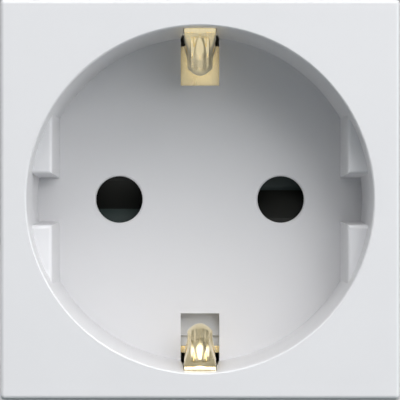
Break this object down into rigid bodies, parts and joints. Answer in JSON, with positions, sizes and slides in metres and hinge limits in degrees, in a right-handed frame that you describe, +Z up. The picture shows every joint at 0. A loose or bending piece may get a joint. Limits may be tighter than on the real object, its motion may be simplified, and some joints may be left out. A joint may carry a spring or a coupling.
{
  "type": "type F wall socket",
  "caption": "Square 45 mm wall socket insert with a round recess, side earth clips, shuttered pin holes and screw terminals behind.",
  "frame": {"origin": "centre of the front face, in its plane", "axes": "+Z up, +X right as seen from the front, +Y into the wall"},
  "size_m": [0.045, 0.041, 0.045],
  "materials": {
    "cover_white": "satin white",
    "housing_white": "matt white",
    "carrier_grey": "matt blue grey",
    "shutter_black": "matt black",
    "brass": "bright",
    "spring_steel": "bright",
    "plated_steel": "zinc plated"
  },
  "bodies": {
    "root": {"front_cover": "cover_white", "shutter_spring": "spring_steel", "contact_carrier": "carrier_grey", "earth_strap": "brass", "live_contact": "brass", "neutral_contact": "brass", "live_contact_band": "spring_steel", "neutral_contact_band": "spring_steel", "live_terminal": "brass", "earth_terminal": "brass", "neutral_terminal": "brass", "live_saddle": "plated_steel", "earth_saddle": "plated_steel", "neutral_saddle": "plated_steel", "terminal_screws": "plated_steel", "carrier_screws": "plated_steel", "rear_housing": "housing_white", "rear_cover": "housing_white", "housing_screws": "plated_steel"},
    "shutter": {"shutter_rotor": "shutter_black"}
  },
  "joints": [
    {"name": "shutter_turn", "type": "hinge", "parent": "root", "child": "shutter", "pos_m": [0, 0.0212, 0], "axis": [0, 1, 0], "range_deg": [0, 38], "stiffness_Nm_per_rad": 0.004, "springref_deg": -20.05, "deforming": ["shutter_spring"]}
  ]
}
